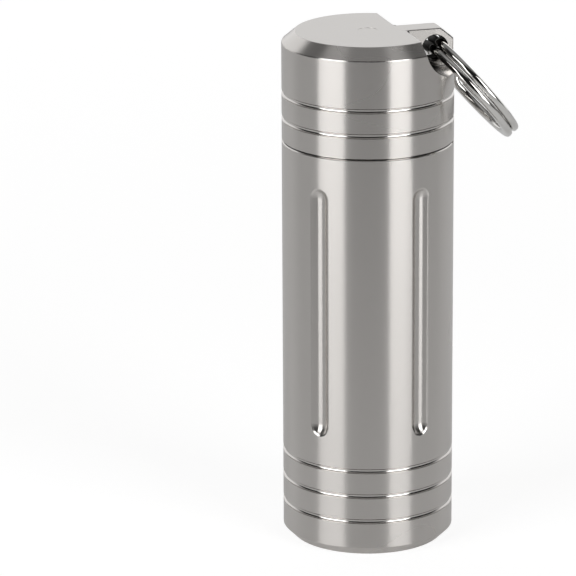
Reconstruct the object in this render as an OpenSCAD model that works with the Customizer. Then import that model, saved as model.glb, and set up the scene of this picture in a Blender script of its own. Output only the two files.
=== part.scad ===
/* [Tube] */
// Diameter of the blind bore that holds the pill
bore_d = 15.6; // [10:0.2:22]
// Height of the shoulder that the cap screws down to
shoulder_h = 48.05; // [40:0.05:80]
// Thickness of the tube's floor
floor_t = 2.6; // [1.4:0.1:8]
// Fillet radius where the bore meets the floor
bore_fillet = 0.8; // [0.2:0.1:2]
// Size of the chamfer round the base
base_chamfer = 1.1; // [0.3:0.1:1.6]
// Small edge break on turned edges
edge_break = 0.12; // [0.05:0.01:0.25]

/* [Neck] */
// Wall of the neck at the root of its thread
neck_wall = 0.5; // [0.4:0.05:1.2]
// Height of the neck above the shoulder
neck_h = 6.3; // [4:0.1:12]
// Lead-in chamfer at the mouth, outside and inside
mouth_chamfer = 0.3; // [0.1:0.05:0.35]

/* [Seal] */
// Diameter of the O-ring's cord
seal_d = 1; // [0.8:0.05:1.6]
// Clearance between the O-ring and the metal all round it
seal_gap = 0.05; // [0.02:0.01:0.1]

/* [Cap] */
// Wall of the cap's rim, outside the seal
rim_wall = 0.6; // [0.4:0.05:1.2]
// Gap between the cap's rim and the shoulder when screwed tight
seam_gap = 0.1; // [0.05:0.01:0.2]
// Room between the neck and the cap's bore for the two threads
thread_room = 0.55; // [0.5:0.01:0.7]
// Free height above the neck inside the cap
head_room = 0.65; // [0.3:0.05:2]
// Metal between the cap's bore and the floor of the far scoop
roof_t = 0.95; // [0.7:0.05:3]
// Width of the chamfer round the top face
top_chamfer_w = 1.55; // [0.6:0.05:2]
// Height of the chamfer round the top face
top_chamfer_h = 1.3; // [0.6:0.05:1.8]
// Edge break at both ends of that chamfer
top_break = 0.07; // [0.03:0.01:0.15]
// Diameter of the turning centre mark in the top face
mark_d = 2.2; // [1:0.1:4]
// Depth of the turning centre mark
mark_depth = 0.02; // [0.01:0.01:0.3]

/* [Lanyard lug] */
// Thickness of the web that is left standing between the two scoops
web_t = 2.8; // [2:0.1:3.6]
// Sideways shift of the web from the cap's centre plane
web_shift = -0.25; // [-0.5:0.05:0.5]
// Radius of the cutter that sinks both scoops
scoop_r = 4.65; // [4.4:0.05:5.4]
// Distance from the skin in to the near scoop's centre
near_scoop_inset = 1.3; // [0.8:0.05:2]
// Distance from the skin in to the far scoop's centre
far_scoop_inset = 1.85; // [0.8:0.05:2.2]
// Extra depth of the far scoop
far_scoop_extra = 0.4; // [0:0.05:0.8]
// Radius of the scoop cutter's corner, where the wall meets the web
scoop_corner = 0.6; // [0.1:0.05:0.7]
// Edge break along the outer edges of the web
web_break = 0.1; // [0.04:0.01:0.2]
// Free play of the ring's wires in the cross hole, across the hole
hole_room = 0.65; // [0.4:0.05:1]
// Metal between the cross hole and the lug's outer end
lug_end_t = 0.88; // [0.7:0.02:1.4]
// Metal between the cross hole and the top face
lug_top_t = 0.83; // [0.7:0.01:1.2]

/* [Split ring] */
// Outside diameter of the split ring
ring_d = 15; // [14:0.1:24]
// Width of the ring's wire across the ring's plane
wire_w = 1.3; // [1:0.05:1.6]
// Thickness of the ring's wire along the ring's axis
wire_t = 0.92; // [0.7:0.02:1.1]
// Gap between the two turns of the wire
turn_gap = 0.07; // [0.04:0.01:0.15]
// Half the angle over which the wire steps from one turn to the other
step_angle = 11; // [8:1:20]
// Place of the step round the ring, from the cross hole
step_place = 96; // [80:1:120]
// Side of the cross hole that the wires rest on, above the line to the ring's centre
rest_side = 60; // [30:1:70]
// Clearance between the leaning ring and the rim of the scoops
lean_gap = 0.05; // [0.03:0.01:0.2]

/* [Turned grooves] */
// Radius of the round-bottomed grooves
groove_r = 0.3; // [0.15:0.01:0.45]
// Height of the centre of the grooves' arc outside the skin
groove_lift = 0.03; // [0:0.01:0.1]
// Height of the lowest groove on the tube
tube_groove_z = 4.35; // [2:0.05:10]
// Distance between the grooves on the tube
tube_groove_pitch = 3.1; // [1:0.05:5]
// Number of grooves on the tube
tube_grooves = 3; // [1:1:5]
// Height of the lowest groove on the cap above its rim
cap_groove_z = 2.75; // [1.6:0.05:3.4]
// Distance between the grooves on the cap
cap_groove_pitch = 2.95; // [1:0.05:3.4]
// Number of grooves on the cap
cap_grooves = 2; // [1:1:2]

/* [Flutes] */
// Number of lengthwise flutes round the tube
flutes = 5; // [2:1:10]
// Radius of the ball cutter that mills the flutes
flute_r = 1.45; // [0.8:0.05:1.8]
// Depth of the flutes
flute_depth = 0.62; // [0.4:0.02:0.9]
// Distance from the top groove of the tube up to the flutes
flute_low_gap = 3.87; // [1:0.01:12]
// Distance from the flutes up to the shoulder
flute_high_gap = 3.87; // [1:0.01:12]
// Angle of the first flute from the lug when the cap is tight
flute_phase = 2.4; // [-36:0.1:36]
// Width of the broken edge round each flute
flute_break = 0.12; // [0.04:0.01:0.25]
// Slope of the broken edge against the skin
break_slope = 28; // [20:1:40]

/* [Hidden] */
$fn = 128;

// Sizes across the axis, from the bore out to the skin
bore_r = bore_d / 2;
neck_r = bore_r + neck_wall;
seal_r = seal_d / 2;
seal_mid_r = neck_r + seal_gap + seal_r;
seat_r = seal_mid_r + seal_r + seal_gap;
cap_bore_r = neck_r + thread_room;
body_r = seat_r + rim_wall;

// Heights, from the shoulder up to the top face
neck_top_z = shoulder_h + neck_h;
seal_z = shoulder_h + seal_gap + seal_r;
seat_z = seal_z + seal_r + seal_gap;
rim_z = shoulder_h + seam_gap;
ceiling_z = neck_top_z + head_room;
top_z = ceiling_z + roof_t + far_scoop_extra + scoop_r;

// The split ring's wires, and the hole that they pass through. They sit off its middle by a share of
// their free play, a little over half of it because their corners are rounded.
REST_SHARE = 0.55;
ring_mid_r = (ring_d - wire_w) / 2;
turn_z = (wire_t + turn_gap) / 2;
stack_t = 2 * turn_z + wire_t;
hole_d = norm([stack_t, wire_w]) + hole_room;
hole_r = hole_d / 2;
wire_out = REST_SHARE * hole_room * cos(rest_side);
wire_up = REST_SHARE * hole_room * sin(rest_side);

// The lug
web_near_y = web_shift - web_t / 2;
web_far_y = web_shift + web_t / 2;
near_scoop = [body_r - near_scoop_inset, top_z];
far_scoop = [body_r - far_scoop_inset, top_z - far_scoop_extra];
hole_x = body_r - lug_end_t - hole_r;
hole_z = top_z - lug_top_t - hole_r;

// The flutes: the ball's place, where it leaves the skin, and the larger ball that breaks that edge
flute_axis_r = body_r - flute_depth + flute_r;
skin_y = (pow(body_r, 2) + pow(flute_axis_r, 2) - pow(flute_r, 2)) / (2 * flute_axis_r);
break_half_w = sqrt(pow(body_r, 2) - pow(skin_y, 2)) + flute_break;
break_r = break_half_w / sin(break_slope);
break_axis_r = sqrt(pow(body_r, 2) - pow(break_half_w, 2)) + break_r * cos(break_slope);
flute_tip = sqrt(pow(flute_r, 2) - pow(flute_r - flute_depth, 2));
break_tip = sqrt(pow(break_r, 2) - pow(break_axis_r - body_r, 2));
break_inset = break_tip - flute_tip - flute_break;
top_groove_z = tube_groove_z + (tube_grooves - 1) * tube_groove_pitch;
flute_low_z = top_groove_z + flute_low_gap + flute_tip;
flute_high_z = shoulder_h - flute_high_gap - flute_tip;

// Shape of the wire: the length of its facets and the squareness of its rounded section
COIL_STEP = 6;
JOG_STEP = 2;
SECTION_SIDES = 14;
SQUARENESS = 0.72;

// The ring leans down until its lower face meets the rim of the scoops. For a lean of a degrees below
// level, room_under gives how far the rim point at y lies beneath the wire that passes over it.
FAR_OFF = 100;
RIM_STEP = 0.05;
function half_wire(p) = wire_t / 2 * pow(1 - pow(abs(p), 2 / SQUARENESS), SQUARENESS / 2);
function room_under(a, y, scoop) =
    let (
        x = sqrt(pow(body_r, 2) - pow(y, 2)),
        out = x - hole_x,
        down = hole_z - scoop[1] + sqrt(pow(scoop_r, 2) - pow(x - scoop[0], 2)),
        along = out * cos(a) + down * sin(a) - wire_out - ring_mid_r,
        across = (norm([along, y - web_shift]) - ring_mid_r) / (wire_w / 2)
    )
    abs(across) > 1 ? FAR_OFF : wire_up - turn_z - half_wire(across) - out * sin(a) + down * cos(a);
function least_room(a) = min([
    for (y = [web_t : RIM_STEP : ring_mid_r])
        min(room_under(a, web_shift - y, near_scoop), room_under(a, web_shift + y, far_scoop))
]);
function lean(low, high, passes = 14) =
    let (mid = (low + high) / 2)
    passes == 0 ? low :
    least_room(mid) > lean_gap ? lean(mid, high, passes - 1) : lean(low, mid, passes - 1);
ring_droop = lean(10, 80);

// How far cutters reach past what they cut
CUT = 1;

// A ring of round section that cuts one turned groove
module turned_groove(z) {
    rotate_extrude()
        translate([body_r + groove_lift, z])
            circle(r = groove_r);
}

// A ball-ended cutter that stands at the given radius from the axis, with its ends drawn in by inset
module ball_slot(r, axis_r, inset = 0) {
    span = flute_high_z - flute_low_z - 2 * inset;
    translate([axis_r, 0, flute_low_z + inset])
        rotate_extrude()
            intersection() {
                union() {
                    circle(r = r);
                    translate([0, span]) circle(r = r);
                    translate([-r, 0]) square([2 * r, span]);
                }
                translate([0, -r - CUT]) square([r + CUT, span + 2 * (r + CUT)]);
            }
}

// One flute with the broken edge round it
module flute() {
    ball_slot(flute_r, flute_axis_r);
    ball_slot(break_r, break_axis_r, break_inset);
}

// Half section of the tube, with its neck, mouth and blind bore
module tube_section() {
    difference() {
        polygon([
            [0, 0],
            [body_r - base_chamfer, 0],
            [body_r, base_chamfer],
            [body_r, shoulder_h - edge_break],
            [body_r - edge_break, shoulder_h],
            [neck_r, shoulder_h],
            [neck_r, neck_top_z - mouth_chamfer],
            [neck_r - mouth_chamfer, neck_top_z],
            [bore_r + mouth_chamfer / 2, neck_top_z],
            [bore_r, neck_top_z - mouth_chamfer],
            [bore_r, floor_t + bore_fillet],
            [bore_r - bore_fillet, floor_t + bore_fillet],
            [bore_r - bore_fillet, floor_t],
            [0, floor_t]
        ]);
        translate([bore_r - bore_fillet, floor_t + bore_fillet]) circle(r = bore_fillet);
    }
}

module tube() {
    color([0.70, 0.69, 0.68])
        difference() {
            rotate_extrude() tube_section();
            for (i = [0 : tube_grooves - 1]) turned_groove(tube_groove_z + i * tube_groove_pitch);
            for (i = [0 : flutes - 1]) rotate([0, 0, flute_phase + i * 360 / flutes]) flute();
        }
}

// The seal that lies at the root of the neck, in the counterbore of the cap's rim
module o_ring() {
    color([0.86, 0.85, 0.82])
        rotate_extrude()
            translate([seal_mid_r, seal_z])
                circle(r = seal_r);
}

// Half section of the cap, with its threaded bore and the seal's counterbore
module cap_section() {
    slope = top_break * [top_chamfer_w, top_chamfer_h] / norm([top_chamfer_w, top_chamfer_h]);
    polygon([
        [0, ceiling_z],
        [cap_bore_r, ceiling_z],
        [cap_bore_r, seat_z],
        [seat_r, seat_z],
        [seat_r, rim_z],
        [body_r - edge_break, rim_z],
        [body_r, rim_z + edge_break],
        [body_r, top_z - top_chamfer_h - top_break],
        [body_r - slope[0], top_z - top_chamfer_h + slope[1]],
        [body_r - top_chamfer_w + slope[0], top_z - slope[1]],
        [body_r - top_chamfer_w - top_break, top_z],
        [0, top_z]
    ]);
}

// The end mill that sinks a scoop: its flat end faces +Y and its corner is rounded
module scoop_mill(reach) {
    rotate([-90, 0, 0])
        rotate_extrude() {
            square([scoop_r - scoop_corner, reach]);
            square([scoop_r, reach - scoop_corner]);
            translate([scoop_r - scoop_corner, reach - scoop_corner]) circle(r = scoop_corner);
        }
}

// The cross hole, with a small edge break at each face of the web
module cross_hole() {
    translate([hole_x, web_shift, hole_z])
        rotate([-90, 0, 0])
            rotate_extrude()
                for (side = [0, 1]) mirror([0, side])
                    polygon([
                        [0, 0],
                        [hole_r, 0],
                        [hole_r, web_t / 2 - edge_break],
                        [hole_r + edge_break, web_t / 2],
                        [hole_r + edge_break, web_t / 2 + CUT],
                        [0, web_t / 2 + CUT]
                    ]);
}

// A square bar laid on an edge between two points [x, z], so that it cuts the edge off at 45 degrees
module edge_bar(start, end) {
    run = end - start;
    translate([start[0], 0, start[1]])
        rotate([0, atan2(run[0], run[1]), 0])
            translate([0, 0, -web_break / 2])
                linear_extrude(height = norm(run) + web_break)
                    rotate(45) square(web_break * sqrt(2), center = true);
}

// The edge break of one face of the web: along the top, down the chamfer and down the skin
module web_edges(y, scoop) {
    wall = [scoop[0] - sqrt(pow(scoop_r, 2) - pow(top_z - scoop[1], 2)) + web_break / 2, top_z];
    brow = [sqrt(pow(body_r - top_chamfer_w, 2) - pow(y, 2)), top_z];
    shoulder = [sqrt(pow(body_r, 2) - pow(y, 2)), top_z - top_chamfer_h];
    foot = [shoulder[0], scoop[1] - scoop_r + scoop_corner];
    translate([0, y, 0]) {
        edge_bar(wall, brow);
        edge_bar(brow, shoulder);
        edge_bar(shoulder, foot);
    }
}

module cap() {
    reach = body_r + CUT;
    color([0.72, 0.71, 0.70])
        difference() {
            rotate_extrude() cap_section();
            for (i = [0 : cap_grooves - 1]) turned_groove(rim_z + cap_groove_z + i * cap_groove_pitch);
            translate([near_scoop[0], web_near_y - reach, near_scoop[1]]) scoop_mill(reach);
            translate([far_scoop[0], web_far_y + reach, far_scoop[1]]) mirror([0, 1, 0]) scoop_mill(reach);
            web_edges(web_near_y, near_scoop);
            web_edges(web_far_y, far_scoop);
            cross_hole();
            translate([0, 0, top_z - mark_depth]) cylinder(d = mark_d, h = mark_depth + CUT);
        }
}

// Height of the wire's middle above the ring's middle plane, t degrees along the wire
function wire_z(t) =
    t < 360 - step_angle ? -turn_z :
    t > 360 + step_angle ? turn_z :
    turn_z * sin(90 * (t - 360) / step_angle);

// Rounded section of the wire: [across the plane, along the axis]
function soft(c) = sign(c) * pow(abs(c), SQUARENESS);
wire_section = [
    for (i = [0 : SECTION_SIDES - 1])
        let (a = 360 * (i + 0.5) / SECTION_SIDES) [wire_w / 2 * soft(cos(a)), wire_t / 2 * soft(sin(a))]
];

// Angles along the wire: coarse round each turn, fine over the step between them
wire_stops = concat(
    [for (t = [step_angle : COIL_STEP : 360 - step_angle - COIL_STEP / 2]) t],
    [for (t = [360 - step_angle : JOG_STEP : 360 + step_angle - JOG_STEP / 2]) t],
    [for (t = [360 + step_angle : COIL_STEP : 720 - step_angle - COIL_STEP / 2]) t],
    [720 - step_angle]
);

// One unbroken wire of two turns, swept as rings of section points
module wound_wire() {
    rings = len(wire_stops);
    points = [
        for (t = wire_stops, p = wire_section)
            [(ring_mid_r + p[0]) * cos(t), (ring_mid_r + p[0]) * sin(t), wire_z(t) + p[1]]
    ];
    sides = [
        for (k = [0 : rings - 2], i = [0 : SECTION_SIDES - 1])
            let (j = (i + 1) % SECTION_SIDES, a = k * SECTION_SIDES, b = a + SECTION_SIDES)
                [a + i, a + j, b + j, b + i]
    ];
    first = [for (i = [SECTION_SIDES - 1 : -1 : 0]) i];
    last = [for (i = [0 : SECTION_SIDES - 1]) (rings - 1) * SECTION_SIDES + i];
    polyhedron(points = points, faces = concat(sides, [first, last]), convexity = 10);
}

// The ring hangs through the cross hole, its plane square to the web
module split_ring() {
    color([0.78, 0.77, 0.75])
        translate([hole_x, web_shift, hole_z])
            rotate([0, ring_droop, 0])
                translate([wire_out + ring_mid_r, 0, wire_up])
                    rotate([0, 0, 180 - step_place])
                        wound_wire();
}

tube();
o_ring();
cap();
split_ring();
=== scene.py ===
import math

import bmesh
import bpy
from mathutils import Matrix, Quaternion, Vector


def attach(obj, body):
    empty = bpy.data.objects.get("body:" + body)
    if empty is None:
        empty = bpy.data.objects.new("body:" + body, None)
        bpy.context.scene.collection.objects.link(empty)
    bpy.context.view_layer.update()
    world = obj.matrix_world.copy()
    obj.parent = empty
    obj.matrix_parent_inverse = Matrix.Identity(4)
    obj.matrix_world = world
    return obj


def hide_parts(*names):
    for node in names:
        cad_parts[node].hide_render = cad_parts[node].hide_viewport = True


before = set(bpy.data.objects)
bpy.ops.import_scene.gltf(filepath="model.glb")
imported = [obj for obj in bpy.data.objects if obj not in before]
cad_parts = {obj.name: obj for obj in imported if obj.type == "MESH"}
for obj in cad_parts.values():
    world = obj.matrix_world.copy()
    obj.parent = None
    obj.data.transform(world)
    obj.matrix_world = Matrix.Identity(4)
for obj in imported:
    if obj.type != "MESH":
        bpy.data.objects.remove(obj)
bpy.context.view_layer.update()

# The tube is one bar of stainless steel, turned between centres and bored blind. The lathe's fine
# passes stretch what its skin and its chamfer mirror, and the five ball-milled flutes match them.
# The grooves, the bore and the neck are smoother cuts, and the neck has a thin film of oil.
MM = 0.001
EDGE = 0.1 * MM
FINE_EDGE = 0.02 * MM
SKIN_R = 9.96 * MM
BASE_CHAMFER = 1.1 * MM
FACED_Z = 60.94 * MM
FLUTES_FROM = 13 * MM
FLUTES_TO = 46 * MM
FLUTE_R = 9 * MM
NECK_R = 8.3 * MM
NECK_FOOT = 48 * MM
NECK_OIL = 0.3
DARK_STEEL = (0.597, 0.575, 0.554, 1)
LIGHT_STEEL = (0.603, 0.580, 0.558, 1)
CUT_STEEL = (0.62, 0.60, 0.58, 1)
# Near black: an oil film on the neck, and painted shade in the cap's scoops and hole and on the key
# ring beside the hole.
OIL_AND_SHADE_STEEL = (0.06, 0.057, 0.054, 1)
PASSES_SCALE = (60, 60, 90)
MARKS_SCALE = (4000, 4000, 4000)
BUMP_HEIGHT = 0.02 * MM
TURNED_ROUGHNESS = 0.267
TURNED_DRIFT = 0.01
CUT_ROUGHNESS = 0.11
CUT_DRIFT = 0.05
FACED_ROUGHNESS = 0.2


class Term:
    """A socket in a node tree. Arithmetic on terms adds Math nodes."""

    def __init__(self, tree, socket=None):
        self.tree = tree
        self.socket = socket

    def node(self, kind, settings, sockets, out=0):
        made = self.tree.nodes.new(kind)
        for key, value in settings.items():
            setattr(made, key, value)
        for key, value in sockets.items():
            if isinstance(value, Term):
                self.tree.links.new(value.socket, made.inputs[key])
            else:
                made.inputs[key].default_value = value
        return Term(self.tree, made.outputs[out] if made.outputs else None)

    def maths(self, operation, *values, clamp=False):
        settings = {"operation": operation, "use_clamp": clamp}
        return self.node("ShaderNodeMath", settings, dict(enumerate(values)))

    def __add__(self, other):
        return self.maths("ADD", self, other)

    def __radd__(self, other):
        return self.maths("ADD", other, self)

    def __sub__(self, other):
        return self.maths("SUBTRACT", self, other)

    def __rsub__(self, other):
        return self.maths("SUBTRACT", other, self)

    def __mul__(self, other):
        return self.maths("MULTIPLY", self, other)

    def __rmul__(self, other):
        return self.maths("MULTIPLY", other, self)

    def root(self):
        return self.maths("SQRT", self)

    def absolute(self):
        return self.maths("ABSOLUTE", self)

    def at_least(self, low):
        return self.maths("MAXIMUM", self, low)

    def above(self, edge, blur):
        return self.maths("DIVIDE", self - (edge - blur / 2), blur, clamp=True)

    def below(self, edge, blur):
        return 1 - self.above(edge, blur)


def new_finish(name):
    finish = bpy.data.materials.new(name)
    finish.use_nodes = True
    finish.node_tree.nodes.clear()
    return finish, Term(finish.node_tree)


def place_of(start):
    place = start.node("ShaderNodeTexCoord", {}, {}, "Object")
    return place, [place.node("ShaderNodeSeparateXYZ", {}, {0: place}, axis) for axis in range(3)]


def noise_of(place, scale, detail=2.0, roughness=0.5):
    vector = place.node("ShaderNodeMapping", {}, {"Vector": place, "Scale": scale})
    sockets = {"Vector": vector, "Scale": 1.0, "Detail": detail, "Roughness": roughness}
    return place.node("ShaderNodeTexNoise", {}, sockets)


def bump_of(height, strength):
    sockets = {"Strength": strength, "Distance": BUMP_HEIGHT, "Height": height}
    return height.node("ShaderNodeBump", {}, sockets)


def between(amount, low, high):
    return amount.node("ShaderNodeMix", {"data_type": "RGBA"}, {0: amount, 6: low, 7: high}, 2)


def turned(place):
    passes = noise_of(place, PASSES_SCALE, detail=0.0)
    return place.node("ShaderNodeBsdfPrincipled", {}, {
        "Base Color": between(passes, DARK_STEEL, LIGHT_STEEL),
        "Metallic": 1.0,
        "Roughness": TURNED_ROUGHNESS + passes * TURNED_DRIFT,
        "Anisotropic": 0.95,
        "Anisotropic Rotation": 0.25,
    })


def cut(place, z, oil_and_shade):
    marks = noise_of(place, MARKS_SCALE)
    faced = z.above(FACED_Z, FINE_EDGE)
    return place.node("ShaderNodeBsdfPrincipled", {}, {
        # Darkened towards near black by the neck's oil on the tube, and by painted shade in the
        # scoops and hole on the cap.
        "Base Color": between(oil_and_shade, CUT_STEEL, OIL_AND_SHADE_STEEL),
        "Metallic": 1.0,
        "Roughness": CUT_ROUGHNESS + marks * CUT_DRIFT + faced * FACED_ROUGHNESS,
        "Normal": bump_of(marks, 0.01),
    })


def finish_steel(name, skin_of, oil_and_shade_of):
    finish, start = new_finish(name)
    place, (x, y, z) = place_of(start)
    radius = (x * x + y * y).root()
    skin = skin_of(x, y, z, radius)
    cut_faces = cut(place, z, oil_and_shade_of(x, y, z, radius))
    mixed = place.node("ShaderNodeMixShader", {}, {0: skin, 1: cut_faces, 2: turned(place)})
    place.node("ShaderNodeOutputMaterial", {}, {"Surface": mixed})
    return finish


def coat(piece, finish):
    piece.data.materials.clear()
    piece.data.materials.append(finish)


def tube_skin(x, y, z, radius):
    chamfered = radius + (BASE_CHAMFER - z).at_least(0)
    flutes = z.above(FLUTES_FROM, EDGE) * z.below(FLUTES_TO, EDGE) * radius.above(FLUTE_R, EDGE)
    return chamfered.above(SKIN_R, FINE_EDGE).at_least(flutes)


def tube_oiled(x, y, z, radius):
    return radius.below(NECK_R + EDGE, EDGE) * z.above(NECK_FOOT, EDGE) * NECK_OIL


tube_finish = finish_steel("turned_and_fluted_steel", tube_skin, tube_oiled)
coat(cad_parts["tube"], tube_finish)

# The neck carries a right-hand thread of 1 mm pitch, cut on the lathe in the same set-up. It
# runs in and out gently at its ends, so the cap starts without catching.
PITCH = 1.0 * MM
THREAD_STEPS = 72
THREAD_START = 49.75 * MM
MALE_TURNS = 4
MALE_CREST = 8.72 * MM
CREST_HALF = 0.10 * MM
ROOT_HALF = 0.40 * MM
SUNK = 0.05 * MM
RUN_OUT = math.radians(60)


def piece_of(name, work, finish):
    mesh = bpy.data.meshes.new(name)
    work.to_mesh(mesh)
    work.free()
    mesh.materials.append(finish)
    piece = bpy.data.objects.new(name, mesh)
    bpy.context.scene.collection.objects.link(piece)
    return piece


def cut_thread(name, root_r, crest_r, turns, start_turn, finish, body):
    inwards = math.copysign(1, root_r - crest_r)
    sunk_r = root_r + inwards * SUNK
    faded_r = root_r + inwards * SUNK / 2
    work = bmesh.new()
    profile = [
        work.verts.new((radius, 0, THREAD_START + rise))
        for radius, rise in (
            (sunk_r, -ROOT_HALF),
            (root_r, -ROOT_HALF),
            (crest_r, -CREST_HALF),
            (crest_r, CREST_HALF),
            (root_r, ROOT_HALF),
            (sunk_r, ROOT_HALF),
        )
    ]
    first = work.faces.new(profile)
    bmesh.ops.spin(
        work, geom=[first], cent=(0, 0, 0), axis=(0, 0, 1), dvec=(0, 0, PITCH / THREAD_STEPS),
        angle=math.tau * turns, steps=THREAD_STEPS * turns, use_duplicate=False,
    )
    length = math.tau * turns
    for vert in work.verts:
        angle = math.atan2(vert.co.y, vert.co.x)
        rise = vert.co.z - THREAD_START
        wound = angle + math.tau * round(rise / PITCH - angle / math.tau)
        ease = min(1, max(0, min(wound, length - wound) / RUN_OUT))
        radius = math.hypot(vert.co.x, vert.co.y)
        if (radius - root_r) * inwards < 0:
            shrink = (faded_r + (radius - faded_r) * ease) / radius
            vert.co.x *= shrink
            vert.co.y *= shrink
    turn = Matrix.Rotation(start_turn, 3, "Z")
    bmesh.ops.rotate(work, verts=work.verts, cent=(0, 0, 0), matrix=turn)
    bmesh.ops.recalc_face_normals(work, faces=work.faces)
    piece = piece_of(name, work, finish)
    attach(piece, body)


cut_thread("neck_thread", NECK_R, MALE_CREST, MALE_TURNS, 0, tube_finish, "tube")

# A soft silicone O-ring lies at the root of the neck and is pinched when the cap is screwed
# down. It is moulded, translucent and off-white, with a faint sheen.
SEAL_MID_R = 8.85 * MM
SEAL_R = 0.5 * MM
SEAL_Z = 48.6 * MM
SEAL_SIDES = 24
SEAL_STEPS = 128
WELD = 0.001 * MM
CLOUDY_SILICONE = (0.80, 0.79, 0.74, 1)
PALE_SILICONE = (0.88, 0.87, 0.83, 1)
CLOUD_SCALE = (400, 400, 400)
SILICONE_ROUGHNESS = 0.38
SILICONE_DRIFT = 0.12


def finish_silicone():
    finish, start = new_finish("translucent_silicone")
    place, _ = place_of(start)
    cloud = noise_of(place, CLOUD_SCALE)
    rubber = place.node("ShaderNodeBsdfPrincipled", {}, {
        "Base Color": between(cloud, CLOUDY_SILICONE, PALE_SILICONE),
        "Roughness": SILICONE_ROUGHNESS + cloud * SILICONE_DRIFT,
        "IOR": 1.41,
        "Subsurface Weight": 0.4,
        "Subsurface Radius": (0.6 * MM, 0.5 * MM, 0.4 * MM),
        "Subsurface Scale": 1.0,
    })
    place.node("ShaderNodeOutputMaterial", {}, {"Surface": rubber})
    return finish


seal_work = bmesh.new()
section = bmesh.ops.create_circle(seal_work, segments=SEAL_SIDES, radius=SEAL_R)["verts"]
upright = Matrix.Translation((SEAL_MID_R, 0, SEAL_Z)) @ Matrix.Rotation(math.pi / 2, 4, "X")
bmesh.ops.transform(seal_work, matrix=upright, verts=section)
bmesh.ops.spin(
    seal_work, geom=seal_work.edges[:], cent=(0, 0, 0), axis=(0, 0, 1),
    angle=math.tau, steps=SEAL_STEPS, use_merge=True, use_duplicate=False,
)
bmesh.ops.remove_doubles(seal_work, verts=seal_work.verts, dist=WELD)
bmesh.ops.recalc_face_normals(seal_work, faces=seal_work.faces)
moulded_o_ring = piece_of("moulded_o_ring", seal_work, finish_silicone())
for face in moulded_o_ring.data.polygons:
    face.use_smooth = True
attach(moulded_o_ring, "seal")
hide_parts("o_ring")

# The cap is turned from the same bar as the tube, and its bore is threaded to fit the neck. Two
# scoops are milled into its shoulder and leave the lug's web standing between them. They are cut
# faces, smoother than the turned skin, and shade is painted dark into the scoops and the lug's hole.
CHAMFER_FOOT = 59.7 * MM
CHAMFER_RUN = 1.55 / 1.3
SCOOP_FOOT = 55.5 * MM
SCOOP_WALL = 3.6 * MM
SCOOP_SHADE_REACH = 7.9 * MM
SCOOP_SHADE_EDGE = 0.8 * MM
SKIN_EDGE = 0.05 * MM
WEB_MIDDLE = -0.25 * MM
WEB_HALF = 1.4 * MM
WEB_FACE = 0.03 * MM
WEB_EDGE = 0.01 * MM
WEB_SHARE = 0.6
FEMALE_TURNS = 5
FEMALE_ROOT = 8.85 * MM
FEMALE_CREST = 8.43 * MM


def cap_skin(x, y, z, radius):
    chamfered = radius + ((z - CHAMFER_FOOT) * CHAMFER_RUN).at_least(0)
    off_face = (y - WEB_MIDDLE).absolute() - WEB_HALF
    web = off_face.above(-WEB_FACE, WEB_EDGE) * off_face.below(WEB_FACE, WEB_EDGE)
    web = web * z.above(SCOOP_FOOT, EDGE) * x.above(SCOOP_WALL, EDGE)
    return chamfered.above(SKIN_R, FINE_EDGE).at_least(web * WEB_SHARE)


# Painted shade: the scoops' cut faces and the lug's hole are darkened towards near-black steel.
def cap_painted_shade(x, y, z, radius):
    pocket = x.above(SCOOP_WALL, EDGE) * z.above(SCOOP_FOOT, EDGE) * z.below(FACED_Z, FINE_EDGE)
    in_bore = (y - WEB_MIDDLE).absolute().below(WEB_HALF, EDGE)
    inner = x.below(SCOOP_SHADE_REACH, SCOOP_SHADE_EDGE).at_least(in_bore)
    return pocket * radius.below(SKIN_R, SKIN_EDGE) * inner


cap_finish = finish_steel("turned_and_milled_steel", cap_skin, cap_painted_shade)
coat(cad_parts["cap"], cap_finish)
cut_thread("cap_thread", FEMALE_ROOT, FEMALE_CREST, FEMALE_TURNS, math.pi, cap_finish, "cap")

# The key ring is one drawn wire wound into two turns, with a step where it passes from one
# turn to the other. It is hardened and polished bright, and its ends are cut square and eased.
# Where it passes the hole in the lug, shade is painted into it: it is made darker, duller and
# rougher there.
HOLE = Vector((7.63978, -0.25, 58.68978)) * MM
RING_LEAN = math.radians(50.1483)
RING_MID_R = 6.85 * MM
WIRE_OUT = 0.17875 * MM
WIRE_UP = 0.30960 * MM
WIRE_W = 1.3 * MM
WIRE_T = 0.92 * MM
WIRE_EASE = 0.06 * MM
TURN_Z = 0.495 * MM
STEP_HALF = math.radians(11)
STEP_PLACE = math.radians(96)
SECTION_SIDES = 28
SQUARENESS = 0.72
COIL_STEPS = 120
STEP_STEPS = 16
HOLE_SHADE_FROM = -1.2 * MM
HOLE_SHADE_TO = 3.2 * MM
HOLE_SHADE_NEAR_EDGE = 0.3 * MM
HOLE_SHADE_FAR_EDGE = 0.6 * MM
HOLE_SHADE_R = 3 * MM
BRIGHT_WIRE = (0.72, 0.71, 0.69, 1)
RUBS_SCALE = (900, 900, 900)
WIRE_ROUGHNESS = 0.03
WIRE_DRIFT = 0.06
HOLE_SHADE_ROUGHNESS = 0.6
HOLE_SHADE_DULLNESS = 0.8


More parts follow.
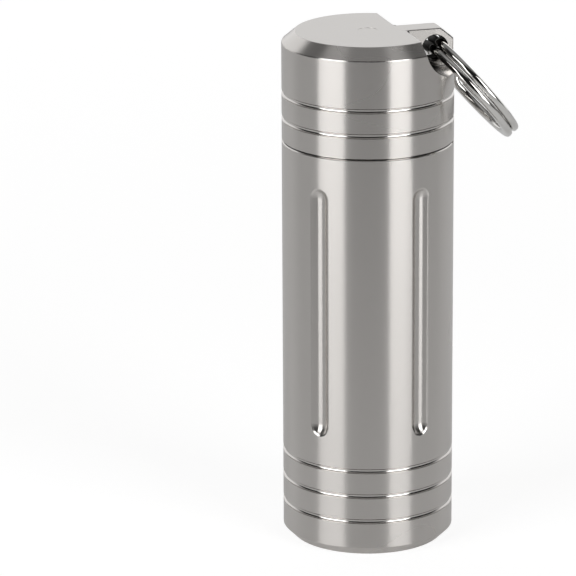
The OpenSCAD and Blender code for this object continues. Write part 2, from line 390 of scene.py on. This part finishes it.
def finish_polished():
    finish, start = new_finish("polished_spring_wire")
    place, (x, y, z) = place_of(start)
    off_x = x - HOLE.x
    off_z = z - HOLE.z
    near_hole = (off_x * off_x + off_z * off_z).below(HOLE_SHADE_R ** 2, (HOLE_SHADE_R / 2) ** 2)
    # Painted shade: the wire is darkened, dulled and roughened where it runs through and beside the
    # lug's hole.
    hole_shade = y.above(HOLE_SHADE_FROM, HOLE_SHADE_NEAR_EDGE) * y.below(HOLE_SHADE_TO, HOLE_SHADE_FAR_EDGE) * near_hole
    rubs = noise_of(place, RUBS_SCALE, detail=4.0, roughness=0.6)
    metal = place.node("ShaderNodeBsdfPrincipled", {}, {
        "Base Color": between(hole_shade, BRIGHT_WIRE, OIL_AND_SHADE_STEEL),
        "Metallic": 1 - hole_shade * HOLE_SHADE_DULLNESS,
        "Roughness": WIRE_ROUGHNESS + rubs * WIRE_DRIFT + hole_shade * HOLE_SHADE_ROUGHNESS,
        "Normal": bump_of(rubs, 0.03),
    })
    place.node("ShaderNodeOutputMaterial", {}, {"Surface": metal})
    return finish


def eased(value):
    return math.copysign(abs(value) ** SQUARENESS, value)


def wind(work, edges, angle, steps, rise):
    wound = bmesh.ops.spin(
        work, geom=edges, cent=(0, 0, 0), axis=(0, 0, 1), dvec=(0, 0, rise / steps),
        angle=angle, steps=steps, use_duplicate=False,
    )
    return [part for part in wound["geom_last"] if isinstance(part, bmesh.types.BMEdge)]


def step_rise(share):
    return TURN_Z * math.sin(math.pi * (share - 0.5))


wire_work = bmesh.new()
section = bmesh.ops.create_circle(wire_work, segments=SECTION_SIDES, radius=1)["verts"]
for vert in section:
    across = eased(vert.co.x) * WIRE_W / 2
    upwards = eased(vert.co.y) * WIRE_T / 2
    vert.co = (RING_MID_R + across, 0, upwards - TURN_Z)
start_turn = Matrix.Rotation(STEP_HALF, 3, "Z")
bmesh.ops.rotate(wire_work, verts=section, cent=(0, 0, 0), matrix=start_turn)
end = wind(wire_work, wire_work.edges[:], math.tau - 2 * STEP_HALF, COIL_STEPS, 0)
for step in range(STEP_STEPS):
    rise = step_rise((step + 1) / STEP_STEPS) - step_rise(step / STEP_STEPS)
    end = wind(wire_work, end, 2 * STEP_HALF / STEP_STEPS, 1, rise)
wind(wire_work, end, math.tau - 2 * STEP_HALF, COIL_STEPS, 0)
open_edges = [edge for edge in wire_work.edges if edge.is_boundary]
bmesh.ops.holes_fill(wire_work, edges=open_edges, sides=0)
bmesh.ops.recalc_face_normals(wire_work, faces=wire_work.faces)
ends = [face for face in wire_work.faces if len(face.verts) == SECTION_SIDES]
bmesh.ops.bevel(
    wire_work, geom=[edge for face in ends for edge in face.edges], affect="EDGES",
    offset=WIRE_EASE, segments=2, profile=0.5, material=-1,
)
hang = (
    Matrix.Translation(HOLE)
    @ Matrix.Rotation(RING_LEAN, 4, "Y")
    @ Matrix.Translation((WIRE_OUT + RING_MID_R, 0, WIRE_UP))
    @ Matrix.Rotation(math.pi - STEP_PLACE, 4, "Z")
)
bmesh.ops.transform(wire_work, matrix=hang, verts=wire_work.verts)
wound_split_ring = piece_of("wound_split_ring", wire_work, finish_polished())
for face in wound_split_ring.data.polygons:
    face.use_smooth = len(face.vertices) <= 4
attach(wound_split_ring, "key_ring")
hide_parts("split_ring")

# A white floor and sky for the picture, two tall soft boxes in front to the left and right,
# and a dark room behind the camera, which gives the metal its dark middle band. Each pair of
# numbers is an edge and its blur.
CAMERA_TURN = math.radians(-16.468)
CAMERA_RISE = math.radians(17.016)
CAMERA_ROLL = math.radians(-0.287)
CAMERA_FAR = 0.520
CAMERA_LENS = 277.04
AIM_ACROSS = -9.345 * MM
AIM_UP = 29.931 * MM
BOX_FAR = 0.8
BOX_LOW = -0.35
BOX_HIGH = 0.75
FRONT_TONE = 0.015
CEILING_TONE = 0.37
BACK_TONE = 1.0
CORNER_TONE = 0.20
CEILING = (0.86, 0.2)
LOW_SKY = (0.61, 0.08)
BACK = (0.40, 0.3)
CORNER = (0.15, 0.2)
WHITE = (1, 1, 1, 1)
WHITE_SHEET = (0.82, 0.82, 0.82, 1)
# Darker floor sheet ahead of the object: painted shade.
PAINTED_SHADE_SHEET = (0.30, 0.30, 0.30, 1)
FLOOR_HALF = 3.0
FLOOR_FRONT = (0.14, 0.16)
FLOOR_FAR = (-0.3, 0.4)
PAINTED_SHADE_SHARE = 0.8
GLOW = 1.3
GLOW_SHARE = 0.12
SEEN_SHARE = 0.52
SEEN_FRONT_SHARE = 0.2
SEEN_FAR_SHARE = 0.1

back = Vector((
    math.sin(CAMERA_TURN) * math.cos(CAMERA_RISE),
    -math.cos(CAMERA_TURN) * math.cos(CAMERA_RISE),
    math.sin(CAMERA_RISE),
))
right = Vector((math.cos(CAMERA_TURN), math.sin(CAMERA_TURN), 0))
forward = Vector((-math.sin(CAMERA_TURN), math.cos(CAMERA_TURN), 0))
aim = right * AIM_ACROSS + Vector((0, 0, AIM_UP))
camera = bpy.data.objects.new("camera", bpy.data.cameras.new("camera"))
camera.data.lens = CAMERA_LENS
camera.data.sensor_width = 36
camera.data.clip_start = 0.01
camera.data.clip_end = 20
camera.location = aim + back * CAMERA_FAR
camera.rotation_mode = "QUATERNION"
camera.rotation_quaternion = (-back).to_track_quat("-Z", "Y") @ Quaternion((0, 0, 1), CAMERA_ROLL)
bpy.context.scene.collection.objects.link(camera)
bpy.context.scene.camera = camera


def soft_box(name, turn, width, power):
    lamp = bpy.data.lights.new(name, "AREA")
    lamp.shape = "RECTANGLE"
    lamp.size = width
    lamp.size_y = BOX_HIGH - BOX_LOW
    lamp.energy = power
    box = bpy.data.objects.new(name, lamp)
    angle = CAMERA_TURN + math.radians(turn)
    inwards = Vector((-math.sin(angle), math.cos(angle), 0))
    box.location = -inwards * BOX_FAR + Vector((0, 0, (BOX_LOW + BOX_HIGH) / 2))
    box.rotation_mode = "QUATERNION"
    box.rotation_quaternion = inwards.to_track_quat("-Z", "Y")
    box.visible_camera = False
    bpy.context.scene.collection.objects.link(box)


def reach_of(place, direction):
    settings = {"operation": "DOT_PRODUCT"}
    return place.node("ShaderNodeVectorMath", settings, {0: place, 1: tuple(direction)}, "Value")


soft_box("left_box", -50.3, 0.54, 6.9)
soft_box("right_box", 43.0, 0.43, 6.0)

world = bpy.data.worlds.new("room")
world.use_nodes = True
world.node_tree.nodes.clear()
sky = Term(world.node_tree)
gaze = sky.node("ShaderNodeTexCoord", {}, {}, "Generated")
height = gaze.node("ShaderNodeSeparateXYZ", {}, {0: gaze}, 2)
ahead = reach_of(gaze, forward)
low = height.below(*LOW_SKY)
front = FRONT_TONE + (CEILING_TONE - FRONT_TONE) * height.above(*CEILING)
raised = (CORNER_TONE - front) * (ahead.above(*CORNER) * (1 - low))
tone = front + raised + (BACK_TONE - front) * (ahead.above(*BACK) * low)
seen = sky.node("ShaderNodeLightPath", {}, {}, "Is Camera Ray")
glow = sky.node("ShaderNodeBackground", {}, {"Color": WHITE, "Strength": tone.at_least(seen)})
sky.node("ShaderNodeOutputWorld", {}, {"Surface": glow})
bpy.context.scene.world = world

floor_finish, start = new_finish("white_floor")
place, _ = place_of(start)
reach = reach_of(place, -forward)
# Painted shade: ahead of the object the floor's sheet is darkened, standing in for less light there.
# The metal mirrors it, while the camera still sees white.
in_front = reach.above(*FLOOR_FRONT)
plain = start.node("ShaderNodeBsdfDiffuse", {}, {"Color": WHITE_SHEET})
shaded_sheet = start.node("ShaderNodeBsdfDiffuse", {}, {"Color": PAINTED_SHADE_SHEET})
sheet = start.node("ShaderNodeMixShader", {}, {0: in_front * PAINTED_SHADE_SHARE, 1: plain, 2: shaded_sheet})
seen = start.node("ShaderNodeLightPath", {}, {}, "Is Camera Ray")
seen_share = SEEN_SHARE + reach.below(*FLOOR_FAR) * SEEN_FAR_SHARE + in_front * SEEN_FRONT_SHARE
glow = start.node("ShaderNodeEmission", {}, {"Color": WHITE, "Strength": GLOW})
share = seen * seen_share + GLOW_SHARE
mixed = start.node("ShaderNodeMixShader", {}, {0: share, 1: sheet, 2: glow})
start.node("ShaderNodeOutputMaterial", {}, {"Surface": mixed})
floor_work = bmesh.new()
bmesh.ops.create_grid(floor_work, x_segments=2, y_segments=2, size=FLOOR_HALF)
floor = piece_of("floor", floor_work, floor_finish)

bpy.context.scene.view_settings.view_transform = "Standard"
